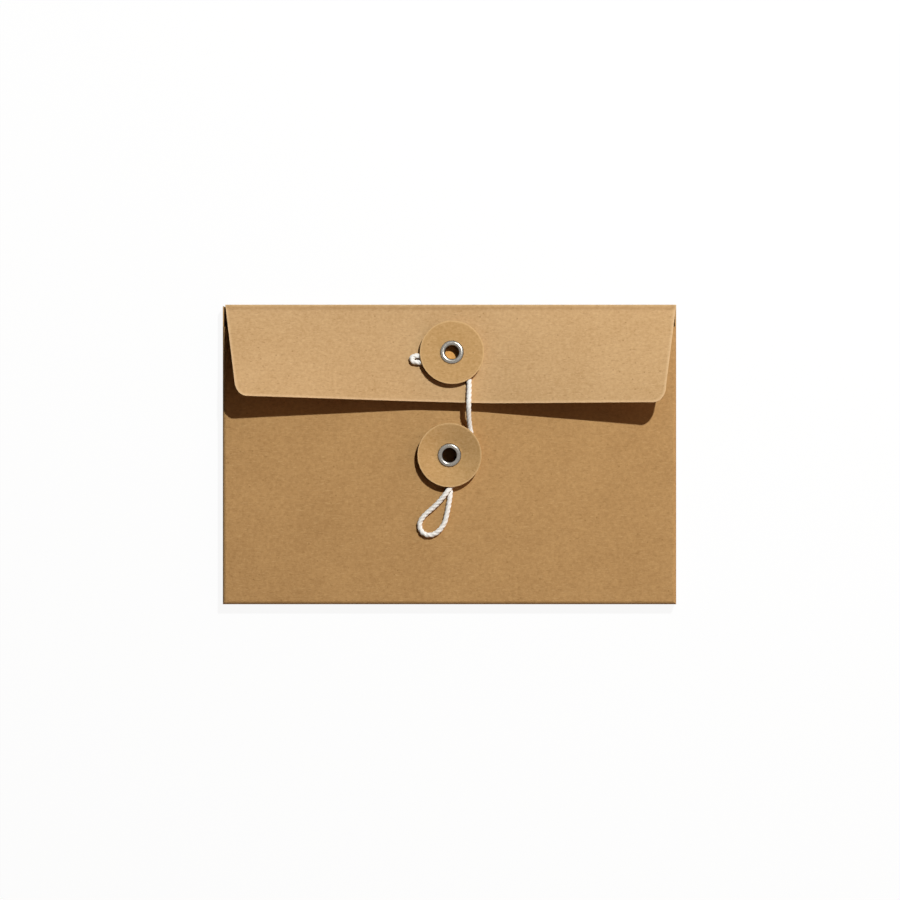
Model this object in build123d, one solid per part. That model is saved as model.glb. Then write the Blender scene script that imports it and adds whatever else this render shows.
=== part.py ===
from build123d import *
import math
import os

# String tie envelope, in millimetres. It lies on its back: +Z points out of the front face, +Y towards
# the fold of the closing flap, and the origin is the middle of the back face.

# Pocket, folded from one sheet of kraft card
width = 165.0
height = 109.0
thickness = 6.0
card_thickness = 0.4
fold_radius = 1.4  # outside radius of the folds along the sides and the bottom
throat_depth = 8.0  # from the top of the envelope down to the front panel's upper edge
wall_step_height = 1.0  # beside the throat the side walls end this far under the front face
panel_inset = 0.6  # raw side edges of the back panel, inside the side walls
seam_width = 14.0
seam_end_length = 6.0  # of the slanting cut at both ends of a seam tab
seam_end_gap = 1.0
glue_thickness = 0.1
glue_margin = 2.0

# Creases at the top
bead_radius = 0.25  # pressed ridge along a crease
crease_gap = 0.05

# Closing flap, seen from the front
flap_inset_left = 1.0
flap_inset_right = 0.1
flap_side_offset_left = 4.4
flap_side_offset_right = 4.85
flap_depth = 35.85  # from the top of the envelope to the free edge, at the middle
flap_depth_step_left = 2.25  # the corners stop this far short of that
flap_depth_step_right = 0.05
flap_corner_radius = 4.5
flap_slope_middle = 7.9  # degrees up from the front face
flap_slope_left = 23.2  # degrees, at the pocket's left edge
flap_slope_right = 21.8  # degrees, at its right edge
flat_margin = 0.4  # flat stretch of the flap beyond its button, at each side

# Buttons and eyelets
button_radius = 11.65
button_thickness = 0.5
flap_button_dish_depth = 0.1  # the rim stands this far above the middle
pocket_button_dish_depth = 2.0
button_edge_round = 0.15
seat_margin = 0.4
flap_button_standoff = 2.05
pocket_button_standoff = 0.75
flap_button_x = 0.9
flap_button_distance = 17.8  # along the flap, from its crease
pocket_button_y = -0.2
eyelet_hole_radius = 2.5
eyelet_wall = 0.35
eyelet_flange_radius = 4.3
eyelet_flange_height = 0.75
eyelet_clinch_radius = 3.9
eyelet_clinch_height = 0.35
bore_clearance = 0.08  # button on eyelet, all round
hole_clearance = 0.1  # eyelet in card, all round
flange_gap = 0.05
patch_radius = 8.0
patch_thickness = 0.3
patch_gap = 0.05

# String
string_diameter = 1.8
string_clearance = 0.1
hexagon_turn = 60.0
eyelet_turn_from = 150.0  # degrees, where the string meets an eyelet
eyelet_turn_corners = 3
bend_share = 0.45  # of the shorter run beside a bend, that its arc takes up
own_gap_from = 6  # string diameters along it, from where its gap to itself is measured

top = height / 2
side = width / 2
string_radius = string_diameter / 2
barrel_radius = eyelet_hole_radius + eyelet_wall
throat_y = top - throat_depth
crease_y = top - bead_radius
spine_axis_z = bead_radius
flap_axis_z = thickness - bead_radius
panel_top_y = crease_y - bead_radius - crease_gap
tab_z = card_thickness + glue_thickness
past = 1.0  # how far a cut runs past the faces that it opens


def box_between(low, high):
    """Block with its sides along the axes, from one corner to the opposite one."""
    size = [b - a for a, b in zip(low, high)]
    return Pos(*low) * Box(*size, align=(Align.MIN, Align.MIN, Align.MIN))


def prism(outline, low_z, high_z):
    """Upright block with the given outline in plan."""
    return extrude(Plane.XY.offset(low_z) * make_face(outline), high_z - low_z)


def fold_profile(low_z):
    """Section of a folded wall: out at low_z, round, up, round, and in again at the front face."""
    inner = fold_radius - card_thickness
    low, high = low_z + fold_radius, thickness - fold_radius
    return make_face(
        [
            Line((0, low_z), (0, low_z + card_thickness)),
            RadiusArc((0, low_z + card_thickness), (-inner, low), inner),
            Line((-inner, low), (-inner, high)),
            RadiusArc((-inner, high), (0, thickness - card_thickness), inner),
            Line((0, thickness - card_thickness), (0, thickness)),
            RadiusArc((0, thickness), (-fold_radius, high), -fold_radius),
            Line((-fold_radius, high), (-fold_radius, low)),
            RadiusArc((-fold_radius, low), (0, low_z), -fold_radius),
        ]
    )


def mitre(sign):
    """Wedge over a lower corner of the pocket, on the bottom fold's side of the 45 degree line."""
    corner = (sign * side, -top)
    reach = 2 * fold_radius
    inner = (sign * (side - reach), -top + reach)
    outline = Polyline(corner, inner, (inner[0], -top - reach), (corner[0], -top - reach), close=True)
    return prism(outline, -past, thickness + past)


def side_fold(sign):
    """Side wall with its two folds, cut a little lower beside the throat so that the flap clears it."""
    length = panel_top_y + top
    start = Plane(origin=(-side + fold_radius, -top, 0), x_dir=(1, 0, 0), z_dir=(0, -1, 0))
    wall = extrude(start * fold_profile(tab_z), -length)
    wall_top = thickness - wall_step_height
    above = box_between((-side - past, throat_y, wall_top), (0, top + past, thickness + past))
    wall = wall - above
    if sign > 0:
        wall = mirror(wall, Plane.YZ)
    return wall - mitre(sign)


def bottom_fold():
    """Wall along the bottom, mitred into the side folds."""
    start = Plane(origin=(-side, -top + fold_radius, 0), x_dir=(0, 1, 0), z_dir=(1, 0, 0))
    wall = extrude(start * fold_profile(0.0), width)
    reach = 2 * fold_radius
    kept = Polyline(
        (-side, -top), (side, -top), (side - reach, -top + reach), (-side + reach, -top + reach), close=True
    )
    return wall & prism(kept, -past, thickness + past)


def card_hole(place):
    """Cutter for an eyelet's hole through the card."""
    return place * Cylinder(barrel_radius + hole_clearance, 2 * (card_thickness + past))


def back_panel():
    return box_between(
        (-side + panel_inset, -top + fold_radius, 0), (side - panel_inset, panel_top_y, card_thickness)
    )


def front_panel():
    panel = box_between(
        (-side + fold_radius, -top + fold_radius, thickness - card_thickness),
        (side - fold_radius, throat_y, thickness),
    )
    return panel - card_hole(pocket_place)


def seam_outline(sign, margin):
    """Plan of a seam tab, drawn in by a margin all round."""
    outer = sign * (side - fold_radius - margin)
    inner = sign * (side - fold_radius - seam_width + margin)
    low = -top + fold_radius + seam_end_gap + margin
    high = panel_top_y - seam_end_gap - margin
    return Polyline(
        (outer, low),
        (inner, low + seam_end_length),
        (inner, high - seam_end_length),
        (outer, high),
        close=True,
    )


def seam_tab(sign):
    return prism(seam_outline(sign, 0.0), tab_z, tab_z + card_thickness)


def glue_strip(sign):
    return prism(seam_outline(sign, glue_margin), card_thickness, tab_z)


def crease_bead(axis_z):
    """Ridge along a crease, on the axis that the card folds about."""
    low = -side + flap_inset_left
    high = side - flap_inset_right
    start = Plane(origin=(low, crease_y, axis_z), x_dir=(0, 1, 0), z_dir=(1, 0, 0))
    return extrude(start * Circle(bead_radius), high - low)


def top_spine():
    """Strip between the two creases at the top, standing upright when the envelope is closed."""
    strip = box_between(
        (-side + flap_inset_left, crease_y - card_thickness / 2, spine_axis_z),
        (side - flap_inset_right, crease_y + card_thickness / 2, flap_axis_z - bead_radius - crease_gap),
    )
    return strip + crease_bead(spine_axis_z)


def flap_section(x, slope):
    """Strip of the flap across one place along the crease, at a slope in degrees."""
    steepest = math.radians(max(flap_slope_left, flap_slope_right))
    reach = (flap_depth + card_thickness) / math.cos(steepest)
    angle = math.radians(slope)
    along = Vector(0, -math.cos(angle), math.sin(angle)) * reach
    out = Vector(0, math.sin(angle), math.cos(angle)) * (card_thickness / 2)
    root = Vector(x, crease_y, flap_axis_z)
    return make_face(Polyline(root - out, root + out, root + along + out, root + along - out, close=True))


def flap_outline():
    """Plan of the flap: tapered sides, rounded corners and a free edge that slants up to the left."""
    r = flap_corner_radius
    left_root, right_root = -side + flap_inset_left, side - flap_inset_right
    left_tip, right_tip = left_root + flap_side_offset_left, right_root - flap_side_offset_right
    middle_y = top - flap_depth
    left_y, right_y = middle_y + flap_depth_step_left, middle_y + flap_depth_step_right
    left_end, right_end = Vector(left_tip + r, left_y), Vector(right_tip - r, right_y)
    middle = Vector(0, middle_y)
    free_edge = Spline(left_end, middle, right_end, tangents=(middle - left_end, (1, 0)))
    left_side = Line((left_root, top), (left_tip, left_y + r))
    right_side = Line((right_root, top), (right_tip, right_y + r))
    return make_face(
        [
            left_side,
            TangentArc((left_tip, left_y + r), left_end, tangent=left_side % 1),
            free_edge,
            TangentArc((right_tip, right_y + r), right_end, tangent=right_side % 1),
            right_side,
            Line((left_root, top), (right_root, top)),
        ]
    )


def flap():
    """Sheet that is flat across its button and curls up at both wings, with a ridge at its crease."""
    flat = button_radius + flat_margin
    left = flap_section(flap_button_x - flat, flap_slope_middle)
    right = flap_section(flap_button_x + flat, flap_slope_middle)
    curled = (
        loft([flap_section(-side, flap_slope_left), left], ruled=True)
        + loft([left, right], ruled=True)
        + loft([right, flap_section(side, flap_slope_right)], ruled=True)
    )
    cut = extrude(flap_outline(), thickness + flap_depth)
    return (curled & cut) + crease_bead(flap_axis_z) - card_hole(flap_place)


def eyelet(standoff, under):
    """Rolled tube from the clinch, at height under below the card's face, to the flange on the button."""
    seat = standoff + button_thickness + flange_gap
    hole = eyelet_hole_radius
    flange_middle = (hole + eyelet_flange_radius) / 2
    clinch_middle = (hole + eyelet_clinch_radius) / 2
    section = make_face(
        [
            Line((hole, under), (hole, seat)),
            ThreePointArc(
                (hole, seat), (flange_middle, seat + eyelet_flange_height), (eyelet_flange_radius, seat)
            ),
            Line((eyelet_flange_radius, seat), (barrel_radius, seat)),
            Line((barrel_radius, seat), (barrel_radius, under)),
            Line((barrel_radius, under), (eyelet_clinch_radius, under)),
            ThreePointArc(
                (eyelet_clinch_radius, under), (clinch_middle, under - eyelet_clinch_height), (hole, under)
            ),
        ]
    )
    return revolve(Plane.XZ * section, Axis.Z)


def button(standoff, dish_depth):
    """Card disc on its eyelet, flat under the flange and dished up to its rounded rim."""
    bore = barrel_radius + bore_clearance
    seat = eyelet_flange_radius + seat_margin
    low, rim = standoff, standoff + dish_depth
    section = make_face(
        Polyline(
            (bore, low),
            (seat, low),
            (button_radius, rim),
            (button_radius, rim + button_thickness),
            (seat, low + button_thickness),
            (bore, low + button_thickness),
            close=True,
        )
    )
    section = fillet(section.vertices().group_by(Axis.X)[-1], button_edge_round)
    return revolve(Plane.XZ * section, Axis.Z)


def pocket_patch():
    """Paper washer between the front panel and the clinch, inside the pocket."""
    disc = Pos(0, 0, -card_thickness - patch_thickness / 2) * Cylinder(patch_radius, patch_thickness)
    return pocket_place * disc - card_hole(pocket_place)


def flap_patch():
    """Paper disc glued over the clinch inside the flap, bulged in its middle to clear it."""
    glued = -card_thickness
    lowest = glued - eyelet_clinch_height - patch_gap
    clear = eyelet_clinch_radius + patch_gap
    section = make_face(
        Polyline(
            (0, lowest),
            (clear, lowest),
            (clear + patch_thickness, glued),
            (patch_radius, glued),
            (patch_radius, glued - patch_thickness),
            (clear + patch_thickness, glued - patch_thickness),
            (clear, lowest - patch_thickness),
            (0, lowest - patch_thickness),
            close=True,
        )
    )
    return flap_place * revolve(Plane.XZ * section, Axis.Z)


# Places of the two eyelets: on the outer face of the flap, and on the front face of the pocket.
tilt = math.radians(flap_slope_middle)
flap_out = Vector(0, math.sin(tilt), math.cos(tilt))
flap_down = Vector(0, -math.cos(tilt), math.sin(tilt))
flap_eyelet_at = (
    Vector(flap_button_x, crease_y, flap_axis_z)
    + flap_down * flap_button_distance
    + flap_out * (card_thickness / 2)
)
flap_place = Plane(origin=flap_eyelet_at, x_dir=(1, 0, 0), z_dir=flap_out)
pocket_place = Plane(origin=(0, pocket_button_y, thickness), x_dir=(1, 0, 0), z_dir=(0, 0, 1))

# Route of the string. A point is (right, up towards the fold, height of the string's middle above the
# card), from the eyelet that it is nearest to.
lying = string_radius + string_clearance
corner_reach = (barrel_radius + string_radius + string_clearance) / math.cos(math.radians(hexagon_turn / 2))


def round_eyelet():
    """Corners of the string's way round an eyelet, clockwise, on a hexagon outside its barrel."""
    angles = [math.radians(eyelet_turn_from - hexagon_turn * n) for n in range(eyelet_turn_corners)]
    return [(corner_reach * math.cos(a), corner_reach * math.sin(a), lying) for a in angles]


tail_fold = [
    (-6.7, -4.6, lying),
    (-10.5, -3.9, 1.05),
    (-14.7, -4.0, 1.4),
    (-14.5, -0.9, 1.35),
    (-10.5, -0.8, 1.05),
]
flap_run = [
    (4.9, -3.4, lying),
    (5.65, -9.2, lying),
    (6.05, -14.2, 1.05),
    (6.3, -19.3, 1.6),
]
pocket_run = [
    (7.6, 13.0, 3.85),
    (7.85, 8.8, 1.3),
    (8.9, 4.2, 0.95),
    (9.8, -0.8, 0.95),
    (8.2, -5.7, 0.95),
    (4.9, -9.2, 0.95),
    (2.0, -11.6, 1.3),
]
loop_run = [
    (-0.1, -13.6, 3.35),
    (-2.0, -15.6, 3.35),
    (-5.2, -18.5, 1.9),
    (-9.6, -22.1, 1.0),
    (-11.3, -25.4, 0.95),
    (-9.6, -29.0, 0.92),
    (-5.4, -29.1, 0.92),
    (-1.9, -25.4, 0.92),
    (-0.7, -20.4, 0.92),
    (0.05, -16.2, 0.92),
    (-0.75, -12.8, 0.92),
]
tuck_run = [
    (-3.1, -10.2, 0.95),
    (-6.6, -7.4, 0.95),
    (-9.4, -3.1, 0.95),
    (-9.7, 2.0, 0.95),
    (-7.6, 6.4, 0.95),
    (-4.0, 9.0, 0.95),
]

on_flap = flap_place.from_local_coords
on_pocket = pocket_place.from_local_coords
stretches = {
    "string_tail": [on_flap(p) for p in tail_fold],
    "string_flap_turn": [on_flap(p) for p in round_eyelet() + flap_run[:2]],
    "string_span": [on_flap(p) for p in flap_run[2:]] + [on_pocket(p) for p in pocket_run],
    "string_loop": [on_pocket(p) for p in loop_run],
    "string_pocket_turn": [on_pocket(p) for p in tuck_run],
}
route = [Vector(p) for points in stretches.values() for p in points]


def bend_radius(before, corner, after):
    """Radius of the arc at a corner of the route, as large as its shorter run allows."""
    arrive, leave = corner - before, after - corner
    turn = math.radians(arrive.get_angle(leave))
    return bend_share * min(arrive.length, leave.length) / math.tan(turn / 2)


corners = range(1, len(route) - 1)
bends = {n: bend_radius(route[n - 1], route[n], route[n + 1]) for n in corners}


def string_path(first, count):
    """Middle line of a stretch, from halfway along the run before it to halfway along the run after."""
    end = first + count
    points = route[first:end]
    if first > 0:
        points = [(route[first - 1] + route[first]) / 2] + points
    if end < len(route):
        points = points + [(route[end - 1] + route[end]) / 2]
    return FilletPolyline(*points, radius=[bends[n] for n in range(first, end) if n in bends])


def string_stretch(path):
    """Round tube along a path."""
    start = Plane(origin=path @ 0, z_dir=path % 0)
    return sweep(start * Circle(string_radius), path=path)


nodes = {
    "back_panel": back_panel(),
    "front_panel": front_panel(),
    "bottom_fold": bottom_fold(),
    "left_side_fold": side_fold(-1),
    "right_side_fold": side_fold(1),
    "left_seam_tab": seam_tab(-1),
    "right_seam_tab": seam_tab(1),
    "left_glue_strip": glue_strip(-1),
    "right_glue_strip": glue_strip(1),
    "pocket_eyelet": pocket_place * eyelet(pocket_button_standoff, -card_thickness - patch_thickness),
    "pocket_patch": pocket_patch(),
    "pocket_button": pocket_place * button(pocket_button_standoff, pocket_button_dish_depth),
    "top_spine": top_spine(),
    "flap": flap(),
    "flap_eyelet": flap_place * eyelet(flap_button_standoff, -card_thickness),
    "flap_patch": flap_patch(),
    "flap_button": flap_place * button(flap_button_standoff, flap_button_dish_depth),
}

first = 0
middle_line = []
measure_step = string_radius / 2
for name, points in stretches.items():
    path = string_path(first, len(points))
    nodes[name] = string_stretch(path)
    measured = nodes[name].volume / (math.pi * string_radius**2 * path.length)
    radii = [round(bends[n], 2) for n in range(first, first + len(points)) if n in bends]
    first += len(points)
    print(f"{name}: {path.length:.1f} mm long, volume {measured:.4f} of section times length, radii {radii}")
    steps = int(path.length / measure_step)
    middle_line += [path @ (n / steps) for n in range(steps)]

apart = int(own_gap_from * string_diameter / measure_step)
gaps = [
    (a - b).length - string_diameter
    for n, a in enumerate(middle_line)
    for b in middle_line[n + apart :]
]
print(f"string: least gap to itself {min(gaps):.2f} mm")

os.makedirs("parts", exist_ok=True)
for name, solid in nodes.items():
    solid.label = name
    export_step(solid, f"parts/{name}.step")
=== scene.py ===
import math

import bpy
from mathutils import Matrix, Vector, geometry, noise


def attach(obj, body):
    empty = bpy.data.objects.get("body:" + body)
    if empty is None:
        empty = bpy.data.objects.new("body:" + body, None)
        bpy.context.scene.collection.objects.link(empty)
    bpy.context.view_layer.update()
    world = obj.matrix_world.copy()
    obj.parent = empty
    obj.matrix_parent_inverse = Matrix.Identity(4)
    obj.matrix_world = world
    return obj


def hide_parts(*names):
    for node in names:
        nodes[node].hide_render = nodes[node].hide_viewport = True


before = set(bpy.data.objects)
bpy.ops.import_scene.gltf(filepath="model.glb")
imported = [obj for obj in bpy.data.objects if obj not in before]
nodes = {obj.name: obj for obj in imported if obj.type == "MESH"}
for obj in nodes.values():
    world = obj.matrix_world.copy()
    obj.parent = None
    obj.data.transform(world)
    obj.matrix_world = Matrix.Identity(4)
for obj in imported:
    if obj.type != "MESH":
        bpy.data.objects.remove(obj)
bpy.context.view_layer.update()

# String tie envelope: kraft card, two eyeleted card buttons and a white string. Sizes are in millimetres,
# as in the solids, and become metres where a mesh is made.
MM = 0.001

CARD = 0.4  # thickness of the kraft card
CUT_ROUND = 0.07  # how far a cut edge of card is rubbed round
RUB_WIDTH = 1.1  # how far in from a cut edge the face is rubbed pale
CREASE_Y = 54.25
FLAP_CREASE_Z = 5.75
CREASE_RADIUS = 0.25
POCKET_SIDE = 82.5
FRONT_Z = 6.0

FLAP_LEFT, FLAP_RIGHT = -81.5, 82.4  # ends of the flap's crease
FLAP_LEFT_TIP, FLAP_RIGHT_TIP = -77.1, 77.55
FLAP_CORNER = 4.5
FLAP_LEFT_Y, FLAP_LOW_Y, FLAP_RIGHT_Y = 21.0, 18.53, 18.72  # free edge, lowest a little right of the middle
FLAP_LOW_X = 14.0
FREE_EDGE_SLANT, FREE_EDGE_SETTLE = -0.027, -0.02  # its slope at the left and at its lowest
FLAT_LEFT, FLAT_RIGHT = -11.15, 12.95  # flat stretch of the flap behind its button
SLOPE_MIDDLE, SLOPE_LEFT, SLOPE_RIGHT = (math.radians(a) for a in (7.9, 23.2, 21.8))
EASE = 0.05  # share of a wing over which the flat stretch eases into the curl

BUTTON_RADIUS = 11.65
BUTTON_THICKNESS = 0.5
BUTTON_BORE = 2.93
BUTTON_SEAT = 4.7
FLAP_STANDOFF, FLAP_DISH = 2.05, 0.1
POCKET_STANDOFF, POCKET_DISH = 0.75, 2.0
EYELET_HOLE, EYELET_BARREL, EYELET_FLANGE, EYELET_CLINCH = 2.5, 2.85, 4.3, 3.9
FLANGE_HEIGHT, CLINCH_HEIGHT, FLANGE_GAP = 0.75, 0.35, 0.05
PATCH = 0.3
CARD_HOLE = 2.95  # radius of the hole in the card
FLAP_EYELET_X, FLAP_EYELET_DISTANCE = 0.9, 17.8  # the distance runs along the flap from its crease
POCKET_EYELET_Y = -0.2

PRESSED_AT = (0.2, -11.9)  # where the button's rim presses the string's two strands, from the pocket's eyelet
PRESSED_REACH, PRESSED_SHARE = 4.5, 0.35

# Places of the two eyelets, on the outer face of the card
FLAP_OUT = Vector((0, math.sin(SLOPE_MIDDLE), math.cos(SLOPE_MIDDLE)))
FLAP_UP = Vector((0, math.cos(SLOPE_MIDDLE), -math.sin(SLOPE_MIDDLE)))
FLAP_EYELET = Vector((FLAP_EYELET_X, CREASE_Y, FLAP_CREASE_Z))
FLAP_EYELET += FLAP_OUT * (CARD / 2) - FLAP_UP * FLAP_EYELET_DISTANCE
POCKET_EYELET = Vector((0, POCKET_EYELET_Y, FRONT_Z))


def on_flap(right, up, out):
    """Point given from the flap's eyelet: across, up towards the fold, and out from the card."""
    return FLAP_EYELET + Vector((right, 0, 0)) + FLAP_UP * up + FLAP_OUT * out


def on_pocket(right, up, out):
    """The same from the pocket's eyelet."""
    return POCKET_EYELET + Vector((right, up, out))


# Camera straight above the front face
camera = bpy.data.objects.new("camera", bpy.data.cameras.new("camera"))
camera.data.lens = 100
camera.data.sensor_width = 36
camera.location = (0.00018, 0.00164, 0.9146)
bpy.context.scene.collection.objects.link(camera)
bpy.context.scene.camera = camera
bpy.context.scene.view_settings.view_transform = "Standard"


# Materials


def linear(hex_colour):
    """Linear RGBA of an sRGB hex colour."""
    shares = [int(hex_colour[n : n + 2], 16) / 255 for n in (1, 3, 5)]
    return [s / 12.92 if s <= 0.04045 else ((s + 0.055) / 1.055) ** 2.4 for s in shares] + [1.0]


def add(tree, kind, inputs=None, **settings):
    """Adds a node, sets its own settings, and sets or links its inputs by name or number."""
    node = tree.nodes.new("ShaderNode" + kind)
    for key, value in settings.items():
        setattr(node, key, value)
    for key, value in (inputs or {}).items():
        if isinstance(value, bpy.types.NodeSocket):
            tree.links.new(value, node.inputs[key])
        else:
            node.inputs[key].default_value = value
    return node


def new_material(name):
    """Empty node material with its tree, and places on the piece in millimetres."""
    material = bpy.data.materials.new(name)
    material.use_nodes = True
    tree = material.node_tree
    tree.nodes.clear()
    metres = add(tree, "TexCoord").outputs["Object"]
    place = add(tree, "VectorMath", {0: metres, "Scale": 1 / MM}, operation="SCALE").outputs[0]
    return material, tree, place


def kraft(name, pale, deep, shive, rubbed, tooth):
    """Unbleached kraft board, rolled smooth. The eye sees a fine even speckle of pulp, short pale and dark
    fibres every way, specks of bark, a dry matt tooth, paler fibre where a cut edge is rubbed, and a
    darker band drawn in along the crease."""
    material, tree, place = new_material(name)
    # Lumps of pulp are 1.1 mm across and cloudy patches 16 mm.
    pulp = add(
        tree, "TexNoise", {"Vector": place, "Scale": 1 / 1.1, "Detail": 3, "Roughness": 0.62}
    ).outputs["Fac"]
    cloud = add(
        tree, "TexNoise", {"Vector": place, "Scale": 1 / 16, "Detail": 2, "Roughness": 0.5}
    ).outputs["Fac"]
    shade = add(tree, "Math", {0: cloud, 1: 0.35, 2: pulp}, operation="MULTIPLY_ADD").outputs[0]
    shade = add(tree, "MapRange", {0: shade, "From Min": 0.42, "From Max": 0.93}).outputs[0]
    colour = add(tree, "Mix", {0: shade, 6: linear(deep), 7: linear(pale)}, data_type="RGBA").outputs[2]
    height = pulp
    # Fibres are 1 to 3 mm long and 0.03 mm thick, drawn 0.3 mm wide so that they show.
    fibres = ((0.4, 1.9, 0.5, rubbed), (1.9, 1.6, 0.45, shive), (2.7, 2.2, 0.35, rubbed))
    for angle, length, share, tint in fibres:
        turned = add(
            tree,
            "Mapping",
            {"Vector": place, "Rotation": (0, 0, angle), "Scale": (1 / length, 1 / 0.3, 1 / 0.8)},
        ).outputs[0]
        streak = add(
            tree, "TexNoise", {"Vector": turned, "Scale": 1, "Detail": 1.5, "Distortion": 0.8}
        ).outputs["Fac"]
        fleck = add(
            tree, "MapRange", {0: streak, "From Min": 0.6, "From Max": 0.78, "To Max": share}
        ).outputs[0]
        colour = add(tree, "Mix", {0: fleck, 6: colour, 7: linear(tint)}, data_type="RGBA").outputs[2]
        height = add(tree, "Math", {0: fleck, 1: 0.5, 2: height}, operation="MULTIPLY_ADD").outputs[0]
    # Shives: specks of bark about 0.5 mm across, one to each 4 mm square
    speck = add(tree, "TexVoronoi", {"Vector": place, "Scale": 1 / 4.0, "Randomness": 1}).outputs["Distance"]
    near = add(
        tree, "MapRange", {0: speck, "From Min": 0.03, "From Max": 0.1, "To Min": 0.5, "To Max": 0}
    ).outputs[0]
    colour = add(tree, "Mix", {0: near, 6: colour, 7: linear(shive)}, data_type="RGBA").outputs[2]
    edge = add(tree, "Attribute", attribute_name="rub").outputs["Fac"]
    worn = add(tree, "MapRange", {0: pulp, "From Min": 0.25, "From Max": 0.7, "To Min": 0.55}).outputs[0]
    worn = add(tree, "Math", {0: worn, 1: edge}, operation="MULTIPLY", use_clamp=True).outputs[0]
    colour = add(tree, "Mix", {0: worn, 6: colour, 7: linear(rubbed)}, data_type="RGBA").outputs[2]
    # Below 0 the attribute draws a darker band along the crease
    crease_band = add(tree, "MapRange", {0: edge, "From Min": 0, "From Max": -1, "To Max": 0.28}).outputs[0]
    colour = add(tree, "Mix", {0: crease_band, 6: colour, 7: linear(shive)}, data_type="RGBA").outputs[2]
    bump = add(tree, "Bump", {"Strength": tooth, "Distance": 0.05 * MM, "Height": height}).outputs[0]
    rough = add(
        tree, "MapRange", {0: pulp, "From Min": 0.3, "From Max": 0.7, "To Min": 0.7, "To Max": 0.88}
    ).outputs[0]
    skin = add(
        tree,
        "BsdfPrincipled",
        {"Base Color": colour, "Roughness": rough, "IOR": 1.5, "Specular IOR Level": 0.12, "Normal": bump},
    )
    add(tree, "OutputMaterial", {"Surface": skin.outputs[0]})
    return material


def cut_board(name, pale, deep, ply):
    """Cut edge of kraft board: the knife leaves torn fibre ends, paler than the face, in thin plies."""
    material, tree, place = new_material(name)
    squeezed = add(tree, "Mapping", {"Vector": place, "Scale": (1 / 2.5, 1 / 2.5, 1 / ply)}).outputs[0]
    plies = add(
        tree, "TexNoise", {"Vector": squeezed, "Scale": 1, "Detail": 3, "Roughness": 0.7}
    ).outputs["Fac"]
    shade = add(tree, "MapRange", {0: plies, "From Min": 0.35, "From Max": 0.65}).outputs[0]
    colour = add(tree, "Mix", {0: shade, 6: linear(deep), 7: linear(pale)}, data_type="RGBA").outputs[2]
    bump = add(tree, "Bump", {"Strength": 0.5, "Distance": 0.05 * MM, "Height": plies}).outputs[0]
    skin = add(
        tree,
        "BsdfPrincipled",
        {"Base Color": colour, "Roughness": 0.92, "IOR": 1.5, "Specular IOR Level": 0.12, "Normal": bump},
    )
    add(tree, "OutputMaterial", {"Surface": skin.outputs[0]})
    return material


def nickel_plate():
    """Nickel plated brass, drawn and rolled: a warm grey mirror with fine scratches and duller spots."""
    material, tree, place = new_material("nickel plated brass")
    # The spots are 0.5 mm across.
    rubbed = add(
        tree, "TexNoise", {"Vector": place, "Scale": 1 / 0.5, "Detail": 4, "Roughness": 0.7}
    ).outputs["Fac"]
    rough = add(
        tree, "MapRange", {0: rubbed, "From Min": 0.3, "From Max": 0.7, "To Min": 0.16, "To Max": 0.34}
    ).outputs[0]
    tint = add(
        tree, "Mix", {0: rubbed, 6: linear("#77726B"), 7: linear("#9C978F")}, data_type="RGBA"
    ).outputs[2]
    bump = add(tree, "Bump", {"Strength": 0.12, "Distance": 0.02 * MM, "Height": rubbed}).outputs[0]
    skin = add(
        tree, "BsdfPrincipled", {"Base Color": tint, "Metallic": 1.0, "Roughness": rough, "Normal": bump}
    )
    add(tree, "OutputMaterial", {"Surface": skin.outputs[0]})
    return material


def cotton_yarn():
    """Bleached cotton, three yarns twisted: soft white, fine fibres along each yarn and a bloom of fuzz."""
    material, tree, _ = new_material("bleached cotton")
    along = add(tree, "UVMap", uv_map="lay").outputs[0]
    # Fibres of a yarn are 0.02 mm thick, drawn 0.15 mm apart so that they show.
    drawn = add(tree, "Mapping", {"Vector": along, "Scale": (12, 1 / 1.2, 1)}).outputs[0]
    fibres = add(
        tree, "TexNoise", {"Vector": drawn, "Scale": 1, "Detail": 3, "Roughness": 0.6}
    ).outputs["Fac"]
    shade = add(tree, "MapRange", {0: fibres, "From Min": 0.3, "From Max": 0.65}).outputs[0]
    colour = add(
        tree, "Mix", {0: shade, 6: linear("#E4DFD6"), 7: linear("#F6F4F0")}, data_type="RGBA"
    ).outputs[2]
    bump = add(tree, "Bump", {"Strength": 0.4, "Distance": 0.05 * MM, "Height": fibres}).outputs[0]
    skin = add(
        tree,
        "BsdfPrincipled",
        {
            "Base Color": colour,
            "Roughness": 0.85,
            "IOR": 1.53,
            "Specular IOR Level": 0.2,
            "Sheen Weight": 0.2,
            "Sheen Roughness": 0.5,
            "Normal": bump,
        },
    )
    add(tree, "OutputMaterial", {"Surface": skin.outputs[0]})
    return material


def dried_glue():
    """White paper glue, brushed on and dried thin: yellowish, in streaks, and slightly shiny."""
    material, tree, place = new_material("dried paper glue")
    brushed = add(tree, "Mapping", {"Vector": place, "Scale": (1 / 0.8, 1 / 12, 1)}).outputs[0]
    streak = add(tree, "TexNoise", {"Vector": brushed, "Scale": 1, "Detail": 2}).outputs["Fac"]
    colour = add(
        tree, "Mix", {0: streak, 6: linear("#CDB88E"), 7: linear("#E8DEC2")}, data_type="RGBA"
    ).outputs[2]
    skin = add(tree, "BsdfPrincipled", {"Base Color": colour, "Roughness": 0.4, "IOR": 1.47})
    add(tree, "OutputMaterial", {"Surface": skin.outputs[0]})
    return material


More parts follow.
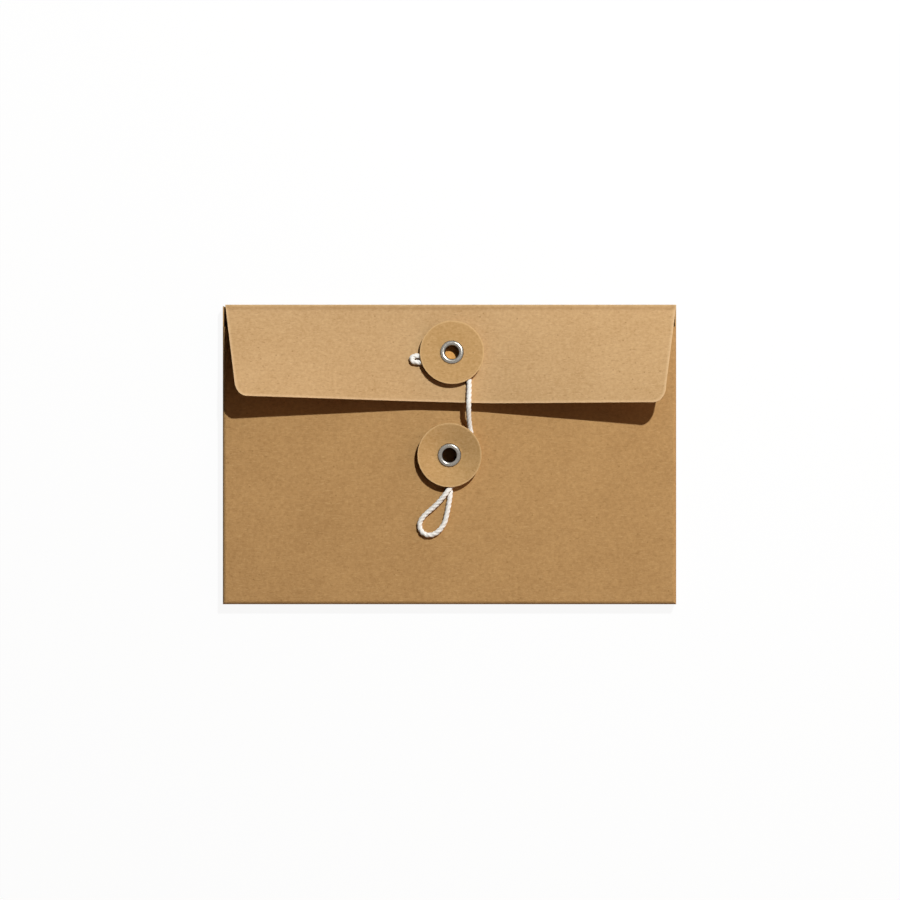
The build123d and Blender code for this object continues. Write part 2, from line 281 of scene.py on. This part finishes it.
BARK = "#7F5A2E"
kraft_card = kraft("kraft card", "#BF9662", "#A88050", BARK, "#CFA975", 0.3)
# The flap is the pocket's card drawn paler: painted sheen and light where the tilted flap faces the lamp
flap_kraft_painted_sheen = kraft("kraft card of the flap, painted paler for sheen", "#C8A477", "#B59062", BARK, "#D8B68B", 0.3)
kraft_button = kraft("kraft button board", "#C39D6B", "#B08955", BARK, "#D2AE7C", 0.25)
kraft_patch = kraft("kraft patch paper", "#DDA560", "#C98E48", "#8A5A28", "#E2B377", 0.25)
kraft_crease = kraft("kraft card at a crease", "#D6B88C", "#C4A274", BARK, "#DEC49C", 0.4)
card_edge = cut_board("cut kraft card", "#D8B484", "#BC9564", 0.08)
button_edge = cut_board("cut button board", "#D0AA78", "#B08A58", 0.12)
nickel = nickel_plate()
cotton = cotton_yarn()
glue = dried_glue()

for name in ("back_panel", "front_panel", "bottom_fold", "left_side_fold", "right_side_fold",
             "left_seam_tab", "right_seam_tab", "top_spine"):
    nodes[name].material_slots[0].material = kraft_card
for name in ("pocket_patch", "flap_patch"):
    nodes[name].material_slots[0].material = kraft_patch
for name in ("left_glue_strip", "right_glue_strip"):
    nodes[name].material_slots[0].material = glue


# Meshes


def new_piece(name, points, faces, materials, finishes=None, rubbed=None):
    """Smooth shaded mesh object from points in millimetres; finishes number the material of each face, and
    rubbed marks each point: 1 where it is rubbed pale, -1 for the darker band drawn along a crease."""
    mesh = bpy.data.meshes.new(name)
    mesh.from_pydata([p * MM for p in points], [], faces)
    for material in materials:
        mesh.materials.append(material)
    if finishes:
        mesh.polygons.foreach_set("material_index", finishes)
    if rubbed:
        mesh.attributes.new("rub", "FLOAT", "POINT").data.foreach_set("value", rubbed)
    mesh.polygons.foreach_set("use_smooth", [True] * len(mesh.polygons))
    mesh.validate()
    mesh.set_sharp_from_angle(angle=math.radians(38))
    piece = bpy.data.objects.new(name, mesh)
    bpy.context.scene.collection.objects.link(piece)
    return piece


def drawn_in(loop, distance):
    """Closed plan outline moved to its left, which is inwards for a counter-clockwise one."""
    moved = []
    for n, here in enumerate(loop):
        along = (loop[(n + 1) % len(loop)] - loop[n - 1]).normalized()
        moved.append(here + Vector((-along.y, along.x)) * distance)
    return moved


def inside(point, loop):
    """Whether a plan point lies inside a closed outline."""
    found = False
    for n, a in enumerate(loop):
        b = loop[n - 1]
        if (a.y > point.y) != (b.y > point.y):
            if point.x < (b.x - a.x) * (point.y - a.y) / (b.y - a.y) + a.x:
                found = not found
    return found


def card_piece(name, outline, hole, crease_y, lift, step, materials):
    """Sheet of card over a plan outline with a hole, folded along the top of the outline. lift gives a plan
    point's middle and its normal."""
    loops = [outline, hole]
    flat = [drawn_in(loop, CUT_ROUND) for loop in loops]
    rim = flat[0] + flat[1]
    spots = list(rim)
    for row in (1, 2):
        spots += [p for p in drawn_in(outline, row * RUB_WIDTH) if inside(p, flat[0])]
    lows = [min(p[n] for p in outline) for n in (0, 1)]
    highs = [max(p[n] for p in outline) for n in (0, 1)]
    taken = list(spots)
    for column in range(1, int((highs[0] - lows[0]) / step)):
        for row in range(1, int((highs[1] - lows[1]) / step)):
            spot = Vector((lows[0] + column * step, lows[1] + row * step))
            clear = min((spot - p).length for p in taken) > 0.6 * step
            if clear and inside(spot, flat[0]) and not inside(spot, flat[1]):
                spots.append(spot)
    ends = []
    first = 0
    for loop in flat:
        ends += [(first + n, first + (n + 1) % len(loop)) for n in range(len(loop))]
        first += len(loop)
    plan, _, triangles, _, _, _ = geometry.delaunay_2d_cdt(spots, ends, [], 1, 1e-6)
    kept = []
    for t in triangles:
        middle = (plan[t[0]] + plan[t[1]] + plan[t[2]]) / 3
        if inside(middle, flat[0]) and not inside(middle, flat[1]):
            kept.append(list(t))
    points, faces, finishes, rubbed = [], [], [], []
    for side in (1, -1):
        base = len(points)
        for n, p in enumerate(plan):
            middle, normal = lift(p)
            points.append(middle + normal * (side * CARD / 2))
            worn = 1.0 if n < len(outline) else 0.0
            # Points near the crease, off the cut edge, get -1: a darker band drawn along the crease
            if p.y > crease_y - 1.5 * RUB_WIDTH:
                worn = 0.3 if worn else -1.0
            rubbed.append(worn)
        for t in kept:
            faces.append([base + n for n in (t if side > 0 else t[::-1])])
            finishes.append(0)
    under = len(plan)
    first = 0
    for loop in loops:
        rows = [[first + n for n in range(len(loop))]]
        for height in (CARD / 2 - CUT_ROUND, CUT_ROUND - CARD / 2):
            rows.append([len(points) + n for n in range(len(loop))])
            for p in loop:
                middle, normal = lift(p)
                points.append(middle + normal * height)
                rubbed.append(1.0)
        rows.append([under + first + n for n in range(len(loop))])
        for upper, lower in zip(rows, rows[1:]):
            for n in range(len(loop)):
                m = (n + 1) % len(loop)
                faces.append([upper[n], lower[n], lower[m], upper[m]])
                finishes.append(1)
        first += len(loop)
    return new_piece(name, points, faces, materials, finishes, rubbed)


def turned_piece(name, profile, place, materials, finishes, worn=None, waver=None, around=128):
    """Closed profile of (radius, height) turned about an eyelet's middle; place puts a point on its card."""
    points, faces, marks, rubbed = [], [], [], []
    count = len(profile)
    for turn in range(around):
        angle = 2 * math.pi * turn / around
        for n, (radius, height) in enumerate(profile):
            rise = waver(radius, angle) if waver else 0
            points.append(place(radius * math.cos(angle), radius * math.sin(angle), height + rise))
            rubbed.append(worn[n] if worn else 0.0)
        after = (turn + 1) % around
        for n in range(count):
            m = (n + 1) % count
            faces.append([turn * count + n, after * count + n, after * count + m, turn * count + m])
            marks.append(finishes[n])
    return new_piece(name, points, faces, materials, marks, rubbed)


def arc(middle, radii, start, end, steps):
    """Points of an elliptical arc in a profile, from one angle to another in degrees."""
    angles = [math.radians(start + (end - start) * n / steps) for n in range(steps + 1)]
    return [(middle[0] + radii[0] * math.cos(a), middle[1] + radii[1] * math.sin(a)) for a in angles]


# String: the route's points, each from the eyelet that it is nearest to. The tail is pinched to a tight
# bight, and the loop's two legs cross right at the button's rim, which presses them flat.


LYING = 1.0  # height of the string's middle on the card
STRING_TURN = 3.85  # radius of the string's turn round an eyelet
HEXAGON = STRING_TURN / math.cos(math.radians(30))  # corners that this turn rounds off
flap_route = (
    [
        (-6.7, -4.3, LYING),
        (-10.5, -3.55, 1.05),
        (-14.65, -3.45, 1.3),
        (-14.5, -1.15, 1.3),
        (-10.5, -1.05, 1.05),
    ]
    + [(HEXAGON * math.cos(a), HEXAGON * math.sin(a), LYING) for a in map(math.radians, (150, 90, 30))]
    + [
        (4.9, -3.4, LYING),
        (6.2, -9.2, LYING),
        (6.2, -14.2, 1.05),
        (5.95, -19.3, 1.6),
    ]
)
pocket_route = [
    (6.9, 13.0, 3.7),
    (7.6, 8.8, 1.3),
    (8.6, 4.2, 0.97),
    (9.6, -0.8, 0.97),
    (8.2, -5.7, 0.97),
    (5.4, -8.2, 0.97),
    (2.8, -9.4, 0.97),
    (1.1, -10.8, 1.65),
    (-0.2, -12.4, 2.3),
    (-2.1, -15.0, 2.1),
    (-5.2, -18.5, 1.4),
    (-9.6, -22.1, 1.0),
    (-11.3, -25.4, 0.97),
    (-9.6, -29.0, 0.96),
    (-5.4, -29.1, 0.96),
    (-1.9, -25.4, 0.96),
    (-0.7, -20.4, 0.96),
    (0.05, -16.2, 0.9),
    (0.45, -12.8, 0.72),
    (-0.6, -10.5, 0.76),
    (-3.2, -8.7, 0.97),
    (-6.8, -7.0, 0.97),
    (-9.4, -3.1, 0.97),
    (-9.7, 2.0, 0.97),
    (-7.6, 6.4, 0.97),
    (-4.0, 9.0, 0.97),
]
route = [on_flap(*p) for p in flap_route] + [on_pocket(*p) for p in pocket_route]


def smooth_line(points):
    """Evenly spaced points, in millimetres, along the smooth curve that the route's points control."""
    curve = bpy.data.curves.new("string_route", "CURVE")
    curve.dimensions = "3D"
    curve.resolution_u = 24
    spline = curve.splines.new("NURBS")
    spline.points.add(len(points) - 1)
    for spot, p in zip(spline.points, points):
        spot.co = (p.x * MM, p.y * MM, p.z * MM, 1)
    spline.order_u = 3
    spline.use_endpoint_u = True
    holder = bpy.data.objects.new("string_route", curve)
    bpy.context.scene.collection.objects.link(holder)
    bpy.context.view_layer.update()
    mesh = bpy.data.meshes.new_from_object(holder)
    line = [v.co / MM for v in mesh.vertices]
    bpy.data.objects.remove(holder)
    bpy.data.curves.remove(curve)
    bpy.data.meshes.remove(mesh)
    even, carried = [line[0]], 0.0
    spacing = 0.3
    for a, b in zip(line, line[1:]):
        gap = (b - a).length
        while gap > 1e-9 and carried + gap >= spacing:
            a = a.lerp(b, (spacing - carried) / gap)
            gap = (b - a).length
            carried = 0.0
            even.append(a)
        carried += gap
    return even


def twisted_string(name, line):
    """One skin round three twisted yarns along a line, with both ends closed."""
    sides = 30
    lay = 5.4  # length of one turn of a yarn
    off, yarn = 0.31, 0.64  # a yarn's distance from the middle, and its radius
    pressed_at = on_pocket(*PRESSED_AT, 0).xy
    points, faces, places = [], [], []
    last = len(line) - 1
    tangents = [(line[min(n + 1, last)] - line[max(n - 1, 0)]).normalized() for n in range(last + 1)]
    across = tangents[0].orthogonal().normalized()
    length = 0.0
    for n, here in enumerate(line):
        if n:
            across = tangents[n - 1].rotation_difference(tangents[n]) @ across
            across = (across - tangents[n] * across.dot(tangents[n])).normalized()
            length += (here - line[n - 1]).length
        beside = tangents[n].cross(across)
        twist = 2 * math.pi * length / lay
        slack = 1 + 0.03 * noise.noise(Vector((length / 3.0, 7.3, 1.1)))
        nearness = max(0.0, 1 - (here.xy - pressed_at).length / PRESSED_REACH)
        flat = 1 - PRESSED_SHARE * nearness * nearness * (3 - 2 * nearness)
        for k in range(sides):
            angle = 2 * math.pi * k / sides
            turn = (angle - twist) % (2 * math.pi / 3) - math.pi / 3
            radius = off * math.cos(turn) + math.sqrt(yarn**2 - (off * math.sin(turn)) ** 2)
            out = (across * math.cos(angle) + beside * math.sin(angle)) * (radius * slack)
            out.z *= flat
            points.append(here + out)
        places.append((length, twist))
    for n in range(last):
        for k in range(sides):
            m = (k + 1) % sides
            faces.append([n * sides + k, n * sides + m, (n + 1) * sides + m, (n + 1) * sides + k])
    faces.append(list(range(sides))[::-1])
    faces.append([last * sides + k for k in range(sides)])
    piece = new_piece(name, points, faces, [cotton])
    # Lay of the yarns: round the string in turns, following the twist, and along it in millimetres
    lay_map = piece.data.uv_layers.new(name="lay")
    for face in piece.data.polygons:
        seam = any(piece.data.loops[i].vertex_index % sides == sides - 1 for i in face.loop_indices)
        for i in face.loop_indices:
            vertex = piece.data.loops[i].vertex_index
            ring, k = divmod(vertex, sides)
            turn = k / sides
            if seam and k == 0:
                turn = 1.0
            along, twist = places[ring]
            lay_map.data[i].uv = (turn - twist / (2 * math.pi), along)
    return piece


string_line = smooth_line(route)
string = twisted_string("string", string_line)
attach(string, "flap")
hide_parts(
    "string_tail", "string_flap_turn", "string_span", "string_loop", "string_pocket_turn"
)


# Flap


def wing(x):
    """Share of the full curl at x, 0 behind the button and 1 at the pocket's edge, and the slope there."""
    if x < (FLAT_LEFT + FLAT_RIGHT) / 2:
        share, slope = (FLAT_LEFT - x) / (POCKET_SIDE + FLAT_LEFT), SLOPE_LEFT
    else:
        share, slope = (x - FLAT_RIGHT) / (POCKET_SIDE - FLAT_RIGHT), SLOPE_RIGHT
    if share <= -EASE:
        return 0.0, slope
    if share < EASE:
        return (share + EASE) ** 2 / (4 * EASE), slope
    return share, slope


def flap_pitch(x):
    """Rise of the flap for each millimetre away from its crease, at x."""
    share, slope = wing(x)
    rise = (1 - share) * math.sin(SLOPE_MIDDLE) + share * math.sin(slope)
    run = (1 - share) * math.cos(SLOPE_MIDDLE) + share * math.cos(slope)
    return rise / run


def flap_lift(p):
    """Middle of the flap over a plan point, and its normal."""
    pitch = flap_pitch(p.x)
    turn = (flap_pitch(p.x + 0.1) - flap_pitch(p.x - 0.1)) / 0.2
    away = CREASE_Y - p.y
    normal = Vector((-turn * away, pitch, 1)).normalized()
    return Vector((p.x, p.y, FLAP_CREASE_Z + away * pitch)), normal


def even_line(a, b, step):
    """Points from a towards b, without b itself."""
    count = max(1, round((b - a).length / step))
    return [a.lerp(b, n / count) for n in range(count)]


def corner(a, c, b, steps):
    """Points of a rounded corner of the card from a to b, with its sides meeting at c, without b itself."""
    pull = 0.72  # near a circle's share
    rounded = []
    for n in range(steps):
        t = n / steps
        shares = (1 - t) ** 2, 2 * pull * t * (1 - t), t**2
        rounded.append((a * shares[0] + c * shares[1] + b * shares[2]) / sum(shares))
    return rounded


def free_edge(left, right):
    """Free edge of the flap: it slants down from the left past the middle and runs on nearly level."""
    low = Vector((FLAP_LOW_X, FLAP_LOW_Y))
    slant, settle = Vector((1, FREE_EDGE_SLANT)), Vector((1, FREE_EDGE_SETTLE))
    thirds = (low.x - left.x) / 3, (right.x - low.x) / 3
    first = geometry.interpolate_bezier(left, left + slant * thirds[0], low - settle * thirds[0], low, 43)
    second = geometry.interpolate_bezier(
        low, low + settle * thirds[1] * 0.3, right - Vector((thirds[1], 0)), right, 31
    )
    return [Vector(p[:2]) for p in first[:-1] + second[:-1]]


def flap_outline():
    """Plan of the flap, counter-clockwise from the left end of its crease."""
    left_top, right_top = Vector((FLAP_LEFT, CREASE_Y)), Vector((FLAP_RIGHT, CREASE_Y))
    left_in = Vector((FLAP_LEFT_TIP, FLAP_LEFT_Y + FLAP_CORNER))
    left_out = Vector((FLAP_LEFT_TIP + FLAP_CORNER, FLAP_LEFT_Y))
    right_in = Vector((FLAP_RIGHT_TIP - FLAP_CORNER, FLAP_RIGHT_Y))
    right_out = Vector((FLAP_RIGHT_TIP, FLAP_RIGHT_Y + FLAP_CORNER))
    lean_left = (left_in - left_top).normalized()
    lean_right = (right_out - right_top).normalized()
    left_point = left_in + lean_left * ((FLAP_LEFT_Y - left_in.y) / lean_left.y)
    right_point = right_out + lean_right * ((FLAP_RIGHT_Y - right_out.y) / lean_right.y)
    loop = even_line(left_top, left_in, 2.0)
    loop += corner(left_in, left_point, left_out, 12)
    loop += free_edge(left_out, right_in)
    loop += corner(right_in, right_point, right_out, 12)
    loop += even_line(right_out, right_top, 2.0)
    loop += even_line(right_top, left_top, 2.0)
    return loop


def eyelet_hole(middle, radius):
    """Round hole in plan, clockwise."""
    return [
        Vector((middle.x + radius * math.cos(-a), middle.y + radius * math.sin(-a)))
        for a in (2 * math.pi * n / 48 for n in range(48))
    ]


flap = card_piece(
    "flap_sheet",
    flap_outline(),
    eyelet_hole(FLAP_EYELET, CARD_HOLE),
    CREASE_Y,
    flap_lift,
    2.5,
    [flap_kraft_painted_sheen, card_edge],
)
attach(flap, "flap")
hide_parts("flap")


def crease_piece(name):
    """Ridge where the flap is scored and folded: a thin roll with the small lumps of bent fibre."""
    sides, spacing = 14, 0.8
    count = int((FLAP_RIGHT - FLAP_LEFT) / spacing)
    points, faces = [], []
    for n in range(count + 1):
        x = FLAP_LEFT + (FLAP_RIGHT - FLAP_LEFT) * n / count
        for k in range(sides):
            angle = 2 * math.pi * k / sides
            lump = noise.noise(Vector((x / 1.7, angle, 3.0)))
            radius = CREASE_RADIUS - 0.012 + 0.012 * lump
            points.append(
                Vector((x, CREASE_Y + radius * math.cos(angle), FLAP_CREASE_Z + radius * math.sin(angle)))
            )
    for n in range(count):
        for k in range(sides):
            m = (k + 1) % sides
            faces.append([n * sides + k, n * sides + m, (n + 1) * sides + m, (n + 1) * sides + k])
    faces.append(list(range(sides))[::-1])
    faces.append([count * sides + k for k in range(sides)])
    return new_piece(name, points, faces, [kraft_crease])


flap_crease = crease_piece("flap_crease")
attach(flap_crease, "flap")
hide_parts("flap")


# Buttons and eyelets


def button_piece(name, standoff, dish, place, sway):
    """Card disc: flat under the eyelet's flange, dished up to a soft cut rim, and a little out of true."""
    span = BUTTON_RADIUS - BUTTON_SEAT
    round_off = 0.15
    rub_width = 0.7

    def bowl(radius):
        return standoff + dish * max(0.0, (radius - BUTTON_SEAT) / span)

    upper, lower = [], []
    radii = [BUTTON_BORE, BUTTON_SEAT - 0.5] + [
        BUTTON_SEAT + (span - rub_width) * n / 12 for n in range(13)
    ] + [BUTTON_RADIUS - round_off]
    for radius in radii:
        upper.append((radius, bowl(radius) + BUTTON_THICKNESS))
        lower.append((radius, bowl(radius)))
    tip = bowl(BUTTON_RADIUS - round_off)
    top_round = arc(
        (BUTTON_RADIUS - round_off, tip + BUTTON_THICKNESS - round_off), (round_off, round_off), 75, 0, 5
    )
    low_round = arc((BUTTON_RADIUS - round_off, tip + round_off), (round_off, round_off), 0, -75, 5)
    profile = lower + low_round[::-1] + top_round[::-1] + upper[::-1]
    cut = len(low_round) + len(top_round)
    finishes = [0] * len(lower) + [1] * (cut - 1) + [0] * (len(upper) + 1)
    worn = [0.0] * (len(lower) - 1) + [1.0] * (cut + 2) + [0.0] * (len(upper) - 1)

    def waver(radius, angle):
        share = max(0.0, (radius - BUTTON_SEAT) / span) ** 2
        return share * 0.05 * math.sin(2 * angle + sway)

    boards = [kraft_button, button_edge]
    piece = turned_piece(name + "_disc", profile, place, boards, finishes, worn, waver)
    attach(piece, name)
    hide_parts(name)
    return piece


def eyelet_piece(name, body, standoff, under, place):
    """Rolled eyelet: a domed flange on the button, a barrel through the card and a clinch behind it."""
    seat = standoff + BUTTON_THICKNESS + FLANGE_GAP
    half = (EYELET_FLANGE - EYELET_HOLE) / 2
    dome = arc((EYELET_HOLE + half, seat), (half, FLANGE_HEIGHT), 0, 180, 24)
    half = (EYELET_CLINCH - EYELET_HOLE) / 2
    clinch = arc((EYELET_HOLE + half, under), (half, CLINCH_HEIGHT), 180, 360, 16)
    barrel = [(EYELET_HOLE, seat + (under - seat) * n / 6) for n in range(1, 6)]
    outside = [(EYELET_BARREL, under + (seat - under) * n / 6) for n in range(7)]
    profile = dome + barrel + clinch + outside
    piece = turned_piece(name + "_shell", profile, place, [nickel], [0] * len(profile), around=96)
    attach(piece, body)
    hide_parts(name)
    return piece


button_piece("flap_button", FLAP_STANDOFF, FLAP_DISH, on_flap, 0.4)
button_piece("pocket_button", POCKET_STANDOFF, POCKET_DISH, on_pocket, 2.1)
eyelet_piece("flap_eyelet", "flap", FLAP_STANDOFF, -CARD, on_flap)
eyelet_piece("pocket_eyelet", "pocket", POCKET_STANDOFF, -CARD - PATCH, on_pocket)


# Floor, light and background


def seen_by_eye(tree):
    """1 for rays that show the background itself, directly or in metal and glass, and 0 for light."""
    ray = add(tree, "LightPath").outputs
    seen = ray["Is Camera Ray"]
    for kind in ("Is Glossy Ray", "Is Transmission Ray"):
        seen = add(tree, "Math", {0: seen, 1: ray[kind]}, operation="MAXIMUM").outputs[0]
    first = add(tree, "Math", {0: ray["Diffuse Depth"], 1: 0.5}, operation="LESS_THAN").outputs[0]
    return add(tree, "Math", {0: seen, 1: first}, operation="MULTIPLY").outputs[0]


floor_mesh = bpy.data.meshes.new("floor")
reach = 3.0
floor_mesh.from_pydata(
    [(-reach, -reach, 0), (reach, -reach, 0), (reach, reach, 0), (-reach, reach, 0)], [], [(0, 1, 2, 3)]
)
floor = bpy.data.objects.new("floor", floor_mesh)
floor.location.z = -0.0002
bpy.context.scene.collection.objects.link(floor)
paper, tree, _ = new_material("white backdrop paper")
share = add(tree, "Math", {0: seen_by_eye(tree), 1: 0.85}, operation="MULTIPLY").outputs[0]
dull = add(tree, "BsdfDiffuse", {"Color": linear("#BFBFBF")}).outputs[0]
white = add(tree, "Emission", {"Strength": 1.08}).outputs[0]
mixed = add(tree, "MixShader", {0: share, 1: dull, 2: white}).outputs[0]
add(tree, "OutputMaterial", {"Surface": mixed})
floor_mesh.materials.append(paper)

world = bpy.data.worlds.new("studio")
bpy.context.scene.world = world
world.use_nodes = True
tree = world.node_tree
tree.nodes.clear()
# Warm fill light from the right, none from the left
direction = add(tree, "TexCoord").outputs["Generated"]
across = add(tree, "SeparateXYZ", {0: direction}).outputs["X"]
level = add(tree, "MapRange", {0: across, "From Min": 0.05, "From Max": 0.75}).outputs[0]
fill = add(tree, "VectorMath", {0: (0.62, 0.41, 0.295), "Scale": level}, operation="SCALE").outputs[0]
colour = add(tree, "Mix", {0: seen_by_eye(tree), 6: fill, 7: linear("#FFFFFF")}, data_type="RGBA").outputs[2]
sky = add(tree, "Background", {"Color": colour, "Strength": 1.0})
add(tree, "OutputWorld", {"Surface": sky.outputs[0]})

# Lamp at the upper right, small enough for crisp shadows under the flap and the buttons
lamp = bpy.data.objects.new("studio_lamp", bpy.data.lights.new("studio_lamp", "POINT"))
lamp.data.energy = 53
lamp.data.color = (0.95, 0.99, 1.0)
lamp.data.shadow_soft_size = 0.014
lamp.location = (0.324, 0.583, 0.906)
bpy.context.scene.collection.objects.link(lamp)
